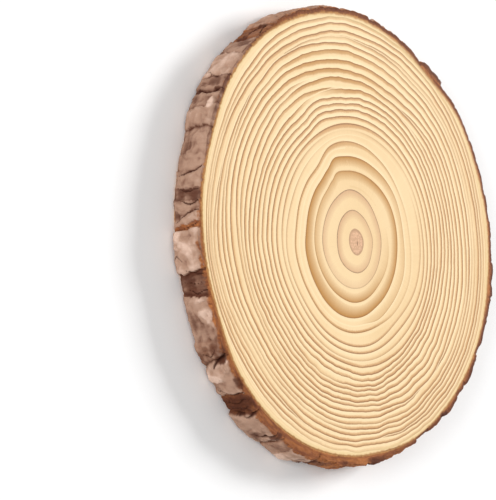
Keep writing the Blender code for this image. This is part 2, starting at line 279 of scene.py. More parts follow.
# Outer growth rings, in the same way, every 30 degrees. Where two lines nearly meet they show as one.
OUTER_RINGS = (
    (60.6, 61.4, 62.2, 62.5, 61, 62.1, 62.8, 60.5, 60.7, 61.8, 61.3, 60.6),
    (63.6, 65.5, 66.2, 65.9, 64.1, 65.6, 66, 63.9, 64, 65.3, 63.6, 63.1),
    (66.3, 68.4, 69.5, 68.9, 67.4, 69.1, 69.3, 66.7, 67.2, 68.1, 66.1, 65.5),
    (69.6, 70.9, 72.6, 71.9, 70.8, 72.1, 72.7, 69.6, 71.1, 70.7, 68.9, 68.2),
    (72.3, 73.8, 76, 76.2, 74.4, 74.8, 75.7, 72.2, 73.4, 73, 72, 71.1),
    (74.9, 76.5, 76.4, 76.6, 79.1, 78.2, 78.7, 75.2, 76.1, 75.8, 75.5, 74.6),
    (77.4, 79.7, 79.3, 82, 82.8, 81.8, 81.4, 78, 79, 78.8, 78.9, 77.9),
    (80, 82.5, 79.7, 82.4, 85.6, 85.7, 83.5, 80.8, 81.3, 81.2, 82.2, 81.1),
    (83, 85.6, 83.2, 86.3, 89.3, 89.4, 85.8, 82.9, 84.5, 83.9, 85.8, 84.3),
    (86.2, 88.4, 87.7, 90.8, 93.2, 92.8, 90.3, 86.1, 87.4, 86.9, 86.2, 87.7),
    (89.7, 92.1, 91.8, 95.8, 96.3, 96, 93.8, 89.3, 90.2, 89.7, 89.7, 90.8),
    (92.6, 95.2, 95.5, 99.3, 100.2, 97.6, 96.8, 91.8, 92.4, 92.2, 92.3, 92.9),
    (94.9, 97.6, 98.2, 102.1, 100.6, 99.8, 100, 93.8, 95.1, 94.6, 94.4, 95),
    (97.1, 99.9, 100.1, 102.5, 101, 100.2, 102.9, 96.8, 98.4, 97.4, 97, 97.7),
    (100.5, 102.6, 103.6, 104.7, 104.2, 104.4, 104.5, 99.5, 98.8, 97.8, 99.5, 100.4),
    (102.6, 105.5, 106.7, 108.6, 107.2, 106, 106.1, 102.5, 101.5, 100.2, 101.7, 102.6),
    (104.7, 108, 109.2, 111.7, 110.3, 107.7, 107.6, 104.6, 104.2, 103, 103.9, 104.9),
)

# Direction above the pith, with its reach, and the inside and outer rings that are bold and broad there
ABOVE = (92, 24)
BROAD_ABOVE = (6, 9)
BOLD_ABOVE = (4, 5, 6, 8, 9, 10)

# Where an outer ring's line is faint: its number from 0, direction and reach (degrees), and the share of its
# darkness that is left
FAINT_STRETCHES = (
    (12, 0, 35, 0.35), (13, 0, 35, 0.25), (16, 340, 60, 0.35), (10, 330, 14, 0.6),
    (11, 330, 14, 0.6), (12, 45, 20, 0.45), (13, 50, 20, 0.5), (11, 62, 14, 0.65),
    (12, 90, 18, 0.3), (16, 90, 20, 0.6), (5, 46, 10, 0.2), (4, 104, 11, 0),
    (7, 104, 10, 0), (6, 120, 7, 0.6), (10, 121, 8, 0.65), (10, 150, 10, 0.7),
    (11, 152, 14, 0.3), (14, 152, 12, 0.7), (15, 155, 20, 0.3), (16, 155, 20, 0.5),
    (6, 182, 14, 0.75), (7, 185, 18, 0.5), (8, 184, 16, 0.65), (13, 182, 18, 0.4),
    (14, 180, 20, 0.3), (3, 208, 10, 0.65), (8, 212, 14, 0.6), (7, 210, 12, 0.55),
    (11, 210, 14, 0.4), (12, 211, 16, 0.45), (13, 210, 14, 0.5), (3, 240, 14, 0.35),
    (11, 240, 14, 0.3), (16, 255, 40, 0.3), (10, 270, 12, 0.7),
)

# Mesh steps
FACE_COLUMNS = 720
ROWS_PER_RING = 4
PITH_ROWS = 14
WALL_COLUMNS = 1400
WALL_ROWS = 68
RIM_ROWS = 16
MERGE_DISTANCE = 0.0005 * MM

# How a sawn face turns down at its edge: distance in from the edge and drop, in mm
FACE_TURN = ((0.05, 0.08), (0, 0.25), (0, 1.4))
FACE_TURN_START = 0.25

# How far in under the face the bark's sawn ring starts, and how far below it
RIM_TUCK = 0.35 * MM
RIM_STEP = 0.25 * MM

# Texture maps: bands are cut into strips, and margins are shares of a map and of a strip
CHART_STRIPS = 6
CHART_MARGIN = 0.01
STRIP_MARGIN = 0.04


def smooth_step(edge_low, edge_high, value):
    """Rise from 0 to 1 between two edges, with level ends."""
    share = np.clip((value - edge_low) / (edge_high - edge_low), 0, 1)
    return share * share * (3 - 2 * share)


def turned(angle, middle):
    """Angle from a direction, in degrees, from -180 up to 180."""
    return (angle - middle + 180) % 360 - 180


def near(angle, middle, width):
    """Share, from 1 at a direction down to 0 away from it, in degrees."""
    return np.exp(-((turned(angle, middle) / width) ** 2))


def curve_through(values, place, mode):
    """Smooth curve through values at places counted from 0; mode says how it goes on past the ends."""
    first = np.floor(place).astype(int)
    before, start, end, after = (np.take(values, first + step, mode=mode) for step in (-1, 0, 1, 2))
    share = place - first
    square, cube = share ** 2, share ** 3
    curve = (2 * cube - 3 * square + 1) * start + (cube - 2 * square + share) * 0.5 * (end - before)
    return curve + (3 * square - 2 * cube) * end + (cube - square) * 0.5 * (after - start)


def closed_curve(values, angle):
    """Smooth closed curve through values that stand at even steps of the full turn; angle in degrees."""
    return curve_through(values, (angle % 360) / 360 * len(values), "wrap")


def noise_3d(x, y, z):
    """Smooth noise at each of the points."""
    x, y, z = np.broadcast_arrays(x, y, z)
    flat = zip(np.ravel(x), np.ravel(y), np.ravel(z))
    return np.array([noise.noise(Vector(point)) for point in flat]).reshape(x.shape)


def polar(angle, radius):
    """How far points at an angle, in degrees, and a radius are towards +X and towards +Y."""
    return radius * np.cos(np.radians(angle)), radius * np.sin(np.radians(angle))


def noise_round(angle, turns, layer):
    """Smooth noise by direction that closes on itself; turns sets how fine it is."""
    return noise_3d(*polar(angle, turns), layer)


def noise_at(angle, height, turns, layers, offset):
    """Smooth noise on the wall that closes on itself; turns and layers set how fine it is."""
    return noise_round(angle, turns, height / THICKNESS * layers + offset)


def spot_share(angle, height, spot, edge, radius):
    """Share of a round spot at an angle and a height in mm, from 1 within it to 0 past its edge.

    The spot gives its middle (degrees, mm up), half width and half height (mm).
    """
    middle, place, half_width, half_height = spot
    across = turned(angle, middle) * np.radians(radius) / half_width
    return 1 - smooth_step(*edge, np.hypot(across, (height - place) / half_height))


def wood_radius(angle):
    """Radius of the wood at an angle in degrees."""
    return closed_curve(WOOD_RADII, angle) * MM


def sawn_radius(angle):
    """Radius at which the pale wood of the sawn faces ends and the brown begins."""
    return wood_radius(angle) - closed_curve(BROWN_REACH, angle) * MM


def bark_form(angle, height):
    """Radius of the bark's surface, as in the solid, the plate each point is on, and the crack's depth."""
    core = wood_radius(angle)
    rise = height / THICKNESS - 0.5
    around = angle + WANDER * noise_at(angle, height, 7, 2.2, 3.7)
    starts, levels, tilts, leans, cracks = np.array(PLATES).T
    relief = np.zeros(angle.shape)
    crack = np.zeros(angle.shape)
    plate_of = np.zeros(angle.shape, int)
    for index in range(len(PLATES)):
        after = (index + 1) % len(PLATES)
        span = (starts[after] - starts[index]) % 360
        first = starts[index] + leans[index] * rise
        span = span + (leans[after] - leans[index]) * rise
        share = ((around - first + 30) % 360 - 30) / span
        inside = (share >= 0) & (share < 1)
        plate_of = np.where(inside, index, plate_of)
        relief = np.where(inside, levels[index] + tilts[index] * (share - 0.5), relief)
        reach = np.abs(turned(around, first)) * np.radians(core / MM)
        width = 0.7 + 0.45 * cracks[index]
        crack = np.maximum(crack, cracks[index] * (1 - smooth_step(0, width * 1.6, reach)))
    for *spot, lift in SCALES:
        relief = relief + lift * spot_share(around, height / MM, spot, SCALE_EDGE, core / MM)
    rough = noise_at(around, height, 14, 4, 9.1) + 0.6 * noise_at(around, height, 34, 7, 1.3)
    radius = core + BARK_BASE + (relief - crack) * MM + ROUGHNESS * rough
    edge = np.minimum(height, THICKNESS - height)
    radius = radius - RIM_WEAR * (1 - smooth_step(0, RIM_WEAR_HEIGHT, edge))
    return np.maximum(radius, core + LEAST_BARK), plate_of, crack


def wall_height(angle, level):
    """Height of a row of the wall: rows lie closer by the rims, and the rims stand off the sawn faces."""
    even = 2 * level / SOLID_LEVELS - 1
    eased = 0.72 * even + 0.28 * np.sin(even * np.pi / 2)
    drop = RIM_DROP + RIM_DROP_CHANGE * noise_at(angle, np.sign(even) * THICKNESS, 11, 1, 5.2)
    return 0.5 * THICKNESS + (0.5 * THICKNESS - drop) * eased


def outline_middle():
    """Middle of the box round the solid's wall, which the solid has at x = y = 0."""
    turns = np.arange(SOLID_SEGMENTS) * 360 / SOLID_SEGMENTS
    angle, level = np.meshgrid(turns, np.arange(SOLID_LEVELS + 1))
    radius = bark_form(angle, wall_height(angle, level))[0]
    x, y = polar(angle, radius)
    return 0.5 * (x.min() + x.max()), 0.5 * (y.min() + y.max())


MIDDLE = outline_middle()


def placed(angle, radius, height):
    """Points in the part's frame from angle (degrees), radius and height."""
    x, y = polar(angle, radius)
    place = np.stack([x - MIDDLE[0], y - MIDDLE[1], height + 0 * x], axis=-1)
    place[..., :2] = np.clip(place[..., :2], CAD_BOX[0][:2], CAD_BOX[1][:2])
    return place


def new_object(name, data):
    """An object with the data, in the scene."""
    added = bpy.data.objects.new(name, data)
    bpy.context.scene.collection.objects.link(added)
    return added


def grid_piece(name, points, up, values, chart, material, closed=True):
    """A mesh from rows of points round the slice; values are its per-point attributes.

    up says whether the rows' order turns the faces outward; chart gives the texture map from the rows and
    columns of face corners. An open grid's last column lies on its first, and they are merged.
    """
    rows, columns = points.shape[:2]
    row, column = np.meshgrid(np.arange(rows - 1), np.arange(columns - (not closed)), indexing="ij")
    corner_row = np.stack([row, row, row + 1, row + 1], axis=-1).reshape(-1, 4)
    corner_column = np.stack([column, column + 1, column + 1, column], axis=-1).reshape(-1, 4)
    if not up:
        corner_row, corner_column = corner_row[:, ::-1], corner_column[:, ::-1]
    faces = corner_row * columns + corner_column % columns
    mesh = bpy.data.meshes.new(name)
    mesh.from_pydata(points.reshape(-1, 3).tolist(), [], faces.tolist())
    for key, value in values.items():
        layer = mesh.attributes.new(key, "FLOAT", "POINT")
        layer.data.foreach_set("value", np.ascontiguousarray(value, np.float32).ravel())
    layer = mesh.uv_layers.new(name="OFBake")
    place = chart(corner_row, corner_column)
    layer.data.foreach_set("uv", np.ascontiguousarray(place, np.float32).ravel())
    if not closed:
        joined = bmesh.new()
        joined.from_mesh(mesh)
        bmesh.ops.remove_doubles(joined, verts=joined.verts, dist=MERGE_DISTANCE)
        joined.to_mesh(mesh)
        joined.free()
    mesh.shade_smooth()
    mesh.materials.append(material)
    piece = new_object(name, mesh)
    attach(piece, "root")
    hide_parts("wood_slice")


def inset(share, margin=CHART_MARGIN):
    """Place in a map or strip that keeps clear of its edges."""
    return margin + (1 - 2 * margin) * share


# Shader helpers

# Sockets of a colour mix, by number
MIX_FACTOR = 0
MIX_FIRST = 6
MIX_SECOND = 7
MIX_RESULT = 2


def new_node(tree, kind, inputs=(), **options):
    """Add a node, set its options, and feed its inputs, by name or number, with numbers or sockets."""
    node = tree.nodes.new(kind)
    for key, value in options.items():
        setattr(node, key, value)
    for key, value in dict(inputs).items():
        if isinstance(value, bpy.types.NodeSocket):
            tree.links.new(value, node.inputs[key])
        else:
            node.inputs[key].default_value = value
    return node


def next_node(kind, inputs, **options):
    """Add a node to the tree that the sockets in its inputs belong to."""
    tree = next(value.id_data for value in inputs.values() if isinstance(value, bpy.types.NodeSocket))
    return new_node(tree, kind, inputs, **options)


def attribute(tree, name):
    return new_node(tree, "ShaderNodeAttribute", attribute_name=name).outputs["Fac"]


def maths(operation, first, second=0, third=0, clamp=False):
    inputs = {0: first, 1: second, 2: third}
    return next_node("ShaderNodeMath", inputs, operation=operation, use_clamp=clamp).outputs[0]


def plus(first, second, clamp=False):
    return maths("ADD", first, second, clamp=clamp)


def times(first, second):
    return maths("MULTIPLY", first, second)


def scaled(value, scale, offset):
    return maths("MULTIPLY_ADD", value, scale, offset)


def ranged(value, low, high, out_low=0, out_high=1, smooth=True):
    """Map a value from one range to another, clamped."""
    inputs = {"Value": value, "From Min": low, "From Max": high, "To Min": out_low, "To Max": out_high}
    kind = "SMOOTHSTEP" if smooth else "LINEAR"
    return next_node("ShaderNodeMapRange", inputs, interpolation_type=kind).outputs["Result"]


def blended(share, first, second, way="MIX"):
    """Mix two colours, given as sockets or as red, green and blue."""
    first, second = (
        colour if isinstance(colour, bpy.types.NodeSocket) else (*colour, 1) for colour in (first, second)
    )
    inputs = {MIX_FACTOR: share, MIX_FIRST: first, MIX_SECOND: second}
    return next_node("ShaderNodeMix", inputs, data_type="RGBA", blend_type=way).outputs[MIX_RESULT]


def shaded(colour, shade):
    """The colour made darker or lighter by a number."""
    grey = next_node("ShaderNodeCombineColor", {0: shade, 1: shade, 2: shade}).outputs[0]
    return blended(1, colour, grey, "MULTIPLY")


def object_place(tree):
    return new_node(tree, "ShaderNodeTexCoord").outputs["Object"]


def stretched(place, scale):
    """The place with each axis scaled, for noise that is longer one way."""
    return next_node("ShaderNodeVectorMath", {0: place, 1: scale}, operation="MULTIPLY").outputs[0]


def speckle(place, scale, detail=3, roughness=0.55, distortion=0):
    """Noise about 0.5, at so many features a metre."""
    inputs = {
        "Vector": place, "Scale": scale, "Detail": detail, "Roughness": roughness, "Distortion": distortion
    }
    return next_node("ShaderNodeTexNoise", inputs).outputs["Fac"]


def new_material(name, specular):
    """A new material and its shader."""
    material = bpy.data.materials.new(name)
    material.use_nodes = True
    shader = material.node_tree.nodes["Principled BSDF"]
    shader.inputs["Specular IOR Level"].default_value = specular
    return material, shader


def surface(name, look, specular, relief):
    """A matt material whose colour, roughness and bump height come from a function of its tree."""
    material, shader = new_material(name, specular)
    tree = material.node_tree
    colour, roughness, height = look(tree)
    tree.links.new(colour, shader.inputs["Base Color"])
    tree.links.new(roughness, shader.inputs["Roughness"])
    bump = next_node("ShaderNodeBump", {"Height": height, "Strength": 1, "Distance": relief})
    tree.links.new(bump.outputs["Normal"], shader.inputs["Normal"])
    return material


# Wood

WOOD_SPECULAR = 0.12
WOOD_RELIEF = 0.12 * MM
CREAM = (0.885, 0.652, 0.366)
CREAM_PALE = (0.96, 0.76, 0.468)
STRAW = (0.8, 0.56, 0.285)
PINK_BAND = (0.62, 0.36, 0.19)
TAN_BAND = (0.45, 0.185, 0.014)
FINE_BAND = (0.58, 0.295, 0.11)
PINK_LINE = (0.18, 0.09, 0.048)
TAN_LINE = (0.33, 0.145, 0.04)
FINE_LINE = (0.25, 0.105, 0.038)
PITH_COLOUR = (0.76, 0.46, 0.275)
PITH_BROWN = (0.45, 0.26, 0.14)
PITH_DARK = (0.26, 0.13, 0.06)
EDGE_YELLOW = (0.8, 0.6, 0.3)
EDGE_BROWN = (0.46, 0.2, 0.065)


def by_kind(kind, pinkish, tan, fine):
    """Colour of a ring by its kind, from 0 to 2."""
    colour = blended(ranged(kind, 0, 1, smooth=False), pinkish, tan)
    return blended(ranged(kind, 1, 2, smooth=False), colour, fine)


def wood_look(tree):
    """End grain: rings by the age, gap, width, dark and kind attributes, with speckle and a tinted edge."""
    place = object_place(tree)
    age = attribute(tree, "age")
    kind = attribute(tree, "kind")
    dark = attribute(tree, "dark")
    fibre = speckle(place, 1300, 3, 0.6)
    since = times(maths("FRACT", age), attribute(tree, "gap"))
    ahead = maths("SUBTRACT", attribute(tree, "gap"), since)
    ahead = plus(ahead, scaled(fibre, 0.7, -0.35))
    climb = maths("DIVIDE", ahead, attribute(tree, "width"))
    climb = maths("SUBTRACT", 1, climb, clamp=True)
    level = times(ranged(climb, 0, 0.45), 0.68)
    level = scaled(maths("POWER", climb, 2), 0.32, level)
    soft = maths("POWER", climb, 0.85)
    firm = times(maths("SUBTRACT", level, soft), ranged(kind, 1, 1.2))
    soft = times(plus(soft, firm), dark)
    crisp = ranged(ahead, scaled(kind, 0.16, 0.75), 0.15)
    crisp = times(crisp, dark)
    drift = speckle(place, 28, 3)
    tone = times(attribute(tree, "tone"), 0.6)
    straw = plus(ranged(drift, 0.35, 0.7, 0, 0.5), tone, clamp=True)
    colour = blended(straw, CREAM, STRAW)
    fresh = times(ranged(since, 2.4, 0.2), attribute(tree, "past"))
    colour = blended(fresh, colour, CREAM_PALE)
    colour = blended(soft, colour, by_kind(kind, PINK_BAND, TAN_BAND, FINE_BAND))
    crisp = times(crisp, ranged(kind, 0, 2, 0.74, 0.72))
    colour = blended(crisp, colour, by_kind(kind, PINK_LINE, TAN_LINE, FINE_LINE))

    in_pith = maths("SUBTRACT", 1, ranged(age, 0.97, 1.03))
    cells = next_node("ShaderNodeTexVoronoi", {"Vector": place, "Scale": 900}).outputs["Distance"]
    core = blended(ranged(cells, 0.3, 0.65, 0, 0.45), PITH_COLOUR, PITH_BROWN)
    core = blended(ranged(age, 0.78, 0.92, 0, 0.7), core, PITH_BROWN)
    core = blended(attribute(tree, "slit"), core, PITH_DARK)
    colour = blended(in_pith, colour, core)

    grain = speckle(place, 2600, 2, 0.6)
    shade = scaled(grain, 0.16, 0.92)
    shade = times(shade, scaled(attribute(tree, "ray"), 0.03, 1))
    colour = shaded(colour, shade)

    edge = attribute(tree, "edge")
    wander = times(speckle(place, 260, 2), 4)
    waves = maths("SINE", plus(times(edge, 4.3), wander))
    waves = times(ranged(waves, -0.2, 1), attribute(tree, "fine"))
    colour = blended(waves, colour, FINE_BAND)
    edge = plus(edge, scaled(speckle(place, 420), 1.6, -0.8))
    edge = maths("DIVIDE", edge, attribute(tree, "stain"))
    colour = blended(ranged(edge, 2.6, 0.8, 0, 0.7), colour, EDGE_YELLOW)
    colour = blended(ranged(edge, 1, 0, 0, 0.9), colour, EDGE_BROWN)
    roughness = scaled(grain, 0.14, 0.5)
    height = plus(times(soft, 0.35), times(grain, 0.4))
    return colour, roughness, height


def edge_from_pith(angle):
    """Distance from the pith to the pale wood's edge, in m, for angles about the pith."""
    reach = sawn_radius(angle)
    for _ in range(30):
        x, y = polar(angle, reach)
        x, y = x + PITH[0], y + PITH[1]
        reach = reach + sawn_radius(np.degrees(np.arctan2(y, x))) - np.hypot(x, y)
    return reach


def winding_curve(values, angle):
    """Smooth curve through values at even steps of one full turn that starts at the seam."""
    steps = len(values) - 1
    place = np.clip((angle - SEAM) / 360 * steps, 0, steps - 0.0001)
    return curve_through(values, place, "clip")


def ring_curves(inner, winding, middle, angle):
    """Curves through the values of the rings inside the outer ones."""
    curves = [closed_curve(ring, angle) for ring in inner]
    curves += [winding_curve(ring, angle) for ring in winding]
    return curves + [closed_curve(ring, angle) for ring in middle]


def outer_ring(index, angle, inside, edge):
    """Radius, darkness, width and kind of an outer ring, from the radius of the ring inside it."""
    bend = 1.4 * near(angle, 105, 8) if index < 4 else 0.5 * near(angle, 113, 6)
    layer = index * 0.17
    sway = 0.9 * noise_round(angle, 6, layer) + 0.45 * noise_round(angle, 15, layer * 1.2 + 7)
    sway = sway * (0.4 + 0.5 * near(angle, 85, 40) + 0.75 * near(angle, 275, 45))
    sway = sway + 0.12 * noise_round(angle, 40, float(index))
    radius = closed_curve(OUTER_RINGS[index], angle) + bend
    radius = np.maximum(radius + sway * smooth_step(0, 2.5, index + 1), inside + 0.35)
    radius = np.minimum(radius, edge - 0.4 * (len(OUTER_RINGS) - index))
    gap = np.maximum(radius - inside, 0.3)
    dark = 0.92 + 0.12 * np.sin(index * 2.4) + 0.1 * near(angle, 90, 40)
    dark = dark + 0.22 * noise_round(angle, 5, index * 3.3)
    for number, direction, reach, left_over in FAINT_STRETCHES:
        if number == index:
            dark = dark * (1 - (1 - left_over) * near(angle, direction, reach))
    dark = np.clip(dark * smooth_step(0.45, 1.3, gap), 0, 1)
    bold = near(angle, *ABOVE) if index in BOLD_ABOVE else 0
    width = 1.9 + 0.9 * bold + 0.5 * noise_round(angle, 7, index * 2.1)
    return radius, dark, np.clip(width, 0.4 * gap, 0.85 * gap), 2 - 0.8 * bold


def ring_lines(angle):
    """Radius of each ring's line about the pith, in mm, with its darkness, the width of its dark part, and
    its kind: 0 pinkish and soft, 1 broad and tan, 2 narrow and crisp."""
    edge = edge_from_pith(angle) / MM
    flat = 0 * angle
    radii = ring_curves(INNER_RINGS, WINDING_RINGS, MIDDLE_RINGS, angle)
    for number, direction, reach, shift in RING_BENDS:
        radii[number] = radii[number] + shift * near(angle, direction, reach)
    dark = ring_curves(INNER_DARKNESS, WINDING_DARKNESS, MIDDLE_DARKNESS, angle)
    widths = [width + flat for width in RING_WIDTHS]
    widths[4] = widths[4] + 3.4 * near(angle, 212, 56)
    widths[5] = widths[5] + smooth_step(360, 440, angle)
    for number in BROAD_ABOVE:
        widths[number] = widths[number] + 1.3 * near(angle, *ABOVE)
    kinds = list(RING_KINDS)
    for index in range(len(OUTER_RINGS)):
        for table, value in zip((radii, dark, widths, kinds), outer_ring(index, angle, radii[-1], edge)):
            table.append(value)
    return [flat] + radii + [edge], dark + [0.12 + flat], widths + [1 + flat], kinds + [2]


def wood_face(name, top, material):
    """One sawn face: rows of the mesh follow the rings, so that their lines stay crisp."""
    angle = SEAM + np.arange(FACE_COLUMNS + 1) * 360 / FACE_COLUMNS
    radii, dark, widths, kinds = ring_lines(angle)
    flat = 0 * angle
    rows = []
    for index in range(len(dark)):
        count = ROWS_PER_RING if index else PITH_ROWS
        gap = radii[index + 1] - radii[index]
        past = dark[index - 1] * smooth_step(0, 1, kinds[index - 1]) if index else flat
        looks = (dark[index], gap, widths[index], kinds[index] + flat, 0.85 * past)
        for step in range(min(index, 1), count + 1):
            share = step / count
            rows.append((radii[index] + gap * share, index + share, looks, 0))
    edge = edge_from_pith(angle) / MM
    last = rows[-1]
    rows[-1] = (edge - FACE_TURN_START, last[1] - 0.02, last[2], 0)
    for inward, drop in FACE_TURN:
        rows.append((edge - inward, last[1] - 0.01, last[2], drop))
    radius = np.array([row[0] for row in rows])
    age = np.array([row[1] + flat for row in rows])
    looks = np.array([row[2] for row in rows])
    drop = np.array([row[3] for row in rows])[:, None] * MM
    x, y = polar(angle, radius * MM)
    x, y = x + PITH[0] - MIDDLE[0], y + PITH[1] - MIDDLE[1]
    height = THICKNESS - drop if top else drop
    points = np.stack([x, y, height + 0 * x], axis=-1)

    around = angle[None, :] + 0 * radius
    tone = 0.5 * noise_3d(x * 22, y * 22, 3)
    left = 1 - smooth_step(25, 60, np.abs(around - 180))
    tone = tone + 0.5 * left * np.exp(-(((radius - 80) / 9) ** 2))
    rightward = near(around, 355, 60)
    outer = smooth_step(16, 8, edge[None, :] - radius)
    tone = tone + 0.35 * (1 - smooth_step(10, 30, radius)) + (1.2 * rightward - 0.6) * outer
    across = (x + MIDDLE[0] - PITH[0]) / MM - 0.9
    upward = (y + MIDDLE[1] - PITH[1]) / MM + 0.5
    values = {
        **dict(zip(("dark", "gap", "width", "kind", "past"), looks.swapaxes(0, 1))),
        "age": age,
        "edge": edge[None, :] - radius,
        "ray": noise_round(around, 60, radius * 0.02),
        "tone": tone,
        "fine": 0.35 * outer * np.maximum(rightward, near(around, 185, 55)),
        "stain": 0.8 + 0.9 * near(around, 45, 60) + 0.3 * near(around, 265, 40),
        "slit": 1 - smooth_step(0.4, 1.4, np.hypot(across / 0.45, upward / 1.2)),
    }

    def chart(corner_row, corner_column):
        low, high = np.array(CAD_BOX)[:, :2]
        return inset((points[corner_row, corner_column, :2] - low) / (high - low))

    grid_piece(name, points, not top, values, chart, material, closed=False)


# Bark

BARK_SPECULAR = 0.1
BARK_RELIEF = 0.25 * MM
BARK_BROWN = (0.225, 0.113, 0.074)
BARK_MAUVE = (0.43, 0.26, 0.182)
BARK_PALE = (0.73, 0.515, 0.405)
BARK_DARK = (0.1, 0.038, 0.024)
CRACK_AND_SHADE_DARK = (0.045, 0.012, 0.006)
INNER_ORANGE = (0.46, 0.168, 0.054)
INNER_BROWN = (0.22, 0.07, 0.028)
INNER_RED = (0.15, 0.045, 0.022)
SAPPY_TAN = (0.56, 0.3, 0.11)


def bark_look(tree):
    """Bark: plates by tone with painted highlights and shade, pale worn patches and painted highlights, dark
    cracks with painted shade, and the orange inner bark where it is bare.
    """
    place = object_place(tree)
    upright = stretched(place, (1, 1, 0.16))
    deep = attribute(tree, "deep")
    streaks = speckle(upright, 700, 3, 0.6)
    blotch = speckle(place, 150, 4, 0.55, 0.6)
    crumbs = speckle(place, 1900, 3, 0.65)
    tone = attribute(tree, "tone")
    level = plus(tone, scaled(blotch, 0.7, -0.35))
    level = plus(level, scaled(streaks, 0.4, -0.2))
    colour = blended(ranged(level, -1, -0.1), BARK_DARK, BARK_BROWN)
    colour = blended(ranged(level, -0.45, 0.35), colour, BARK_MAUVE)
    colour = blended(ranged(level, 0.3, 1.5), colour, BARK_PALE)
    inward = next_node("ShaderNodeCombineXYZ", {"Z": times(deep, MM)}).outputs[0]
    along = {0: stretched(place, (0.12, 0.12, 0)), 1: inward}
    along = next_node("ShaderNodeVectorMath", along, operation="ADD").outputs[0]
    layers = [speckle(way, 620, 4, 0.6, 0.3) for way in (upright, along)]
    layers = blended(attribute(tree, "sawn"), *layers)
    inner = blended(ranged(layers, 0.34, 0.62), INNER_BROWN, INNER_ORANGE)
    inner = blended(attribute(tree, "sappy"), inner, SAPPY_TAN)
    colour = blended(attribute(tree, "bare"), colour, inner)
    # Red from the inner bark and the stains, and painted shade in the hollows
    red = times(attribute(tree, "red"), ranged(streaks, 0.3, 0.7, 1, 0.75))
    colour = blended(red, colour, INNER_RED)
    # Dark cracks with painted shade in them, painted shade in the hollows, dark stains and the rim's shut
    # folds
    colour = blended(times(attribute(tree, "crack"), 0.93), colour, CRACK_AND_SHADE_DARK)
    colour = shaded(colour, scaled(crumbs, 0.24, 0.88))
    roughness = scaled(crumbs, 0.2, 0.62)
    height = plus(times(crumbs, 0.4), times(streaks, 0.6))
    return colour, roughness, height


def crack_lines(angle, height):
    """Depth of the narrow cracks, in mm, and how much of their dark colour and painted shade shows, from 0
    to 1.
    """
    around = wood_radius(angle) / MM + BARK_BASE / MM
    shift = 1.3 * noise_at(angle, height, 19, 3, 6) + 0.5 * noise_at(angle, height, 55, 8, 2)
    z = height / MM + 0.8 * noise_at(angle, height, 30, 3, 8)
    lines = list(CRACKS)
    for index, (start, _, _, lean, deep) in enumerate(PLATES):
        if not CRACKS_FROM < start < CRACKS_TO:
            swing = math.sin(index * 2.3)
            top = (start + lean / 2, 17.3 - 2.5 * abs(math.cos(index * 1.7)))
            middle = (start + 0.5 * swing, 9 + 2 * swing)
            bottom = (start - lean / 2, 1 + 3 * abs(swing))
            lines.append((*top, *middle, *bottom, 0.14 + 0.17 * deep, 0.6 * deep))
    depth = np.zeros(angle.shape)
    shade = np.zeros(angle.shape)
    for first, first_up, middle, middle_up, last, last_up, half, deep in lines:
        across = turned(angle, middle) * np.radians(around) + shift
        for turn, up in ((first, first_up), (last, last_up)):
            ahead = np.array([(turn - middle) * math.radians(STAIN_RADIUS), up - middle_up])
            length = math.hypot(*ahead)
            share = np.clip((across * ahead[0] + (z - middle_up) * ahead[1]) / length ** 2, 0, 1)
            off = np.hypot(across - share * ahead[0], z - middle_up - share * ahead[1])
            taper = np.sqrt(1 - share ** 2) * 0.9 + 0.1
            off = off / (half * taper)
            depth = np.maximum(depth, deep * taper * (1 - smooth_step(0.2, 1.5, off)))
            shade = np.maximum(shade, (1 - smooth_step(0.55, 1.5, off)) * smooth_step(0, 0.25, taper))
    return depth, shade


def flakes_at(angle, height, count, rows, seed):
    """Irregular flakes that tile the wall: level and tone of each point's flake, and mm to its border."""
    chance = np.random.default_rng(seed).random((count, rows, 4))
    width = 2 * math.pi * FLAKE_RADIUS / count
    tall = THICKNESS / MM / rows
    across = angle / 360 * count + 0.9 * noise_at(angle, height, 16, 2.5, 3 + seed)
    upward = height / THICKNESS * rows + 0.8 * noise_at(angle, height, 20, 3, 9 + seed)
    column, row = np.floor(across).astype(int), np.floor(upward).astype(int)
    nearest, second = np.full((2, *angle.shape), np.inf)
    level, tone = np.zeros((2, *angle.shape))
    for step in (-1, 0, 1):
        for rise in (-1, 0, 1):
            draw = chance[(column + step) % count, (row + rise) % rows]
            aside = (across - (column + step + draw[..., 0])) * width
            away = np.hypot(aside, (upward - (row + rise + draw[..., 1])) * tall)
            closer = away < nearest
            second = np.where(closer, nearest, np.minimum(second, away))
            nearest = np.where(closer, away, nearest)
            level = np.where(closer, draw[..., 2], level)
            tone = np.where(closer, draw[..., 3], tone)
    return level * 2 - 1, tone * 2 - 1, second - nearest


def patch_and_highlight_tone(angle, height):
    """Change of tone by the worn and stained patches and the painted highlights at an angle and a height in
    mm.
    """
    return sum(
        change * spot_share(angle, height, spot, PATCH_EDGE, PATCH_RADIUS) for *spot, change in WORN_PATCHES_AND_HIGHLIGHTS
    )


def stain_at(angle, height):
    """How strong the dark red-brown stains are at an angle and a height in mm, from 0 to 1."""
    stain = np.zeros(angle.shape)
    for *spot, strength in STAINS:
        stain = np.maximum(stain, strength * spot_share(angle, height, spot, STAIN_EDGE, STAIN_RADIUS))
    return stain


def blurred(values, rows, columns):
    """Mean of a grid over a window of so many rows and columns each way; columns close on themselves."""
    total = sum(np.roll(values, step, axis=1) for step in range(-columns, columns + 1)) / (2 * columns + 1)
    padded = np.pad(total, ((rows, rows), (0, 0)), mode="edge")
    count = values.shape[0]
    return sum(padded[step:step + count] for step in range(2 * rows + 1)) / (2 * rows + 1)


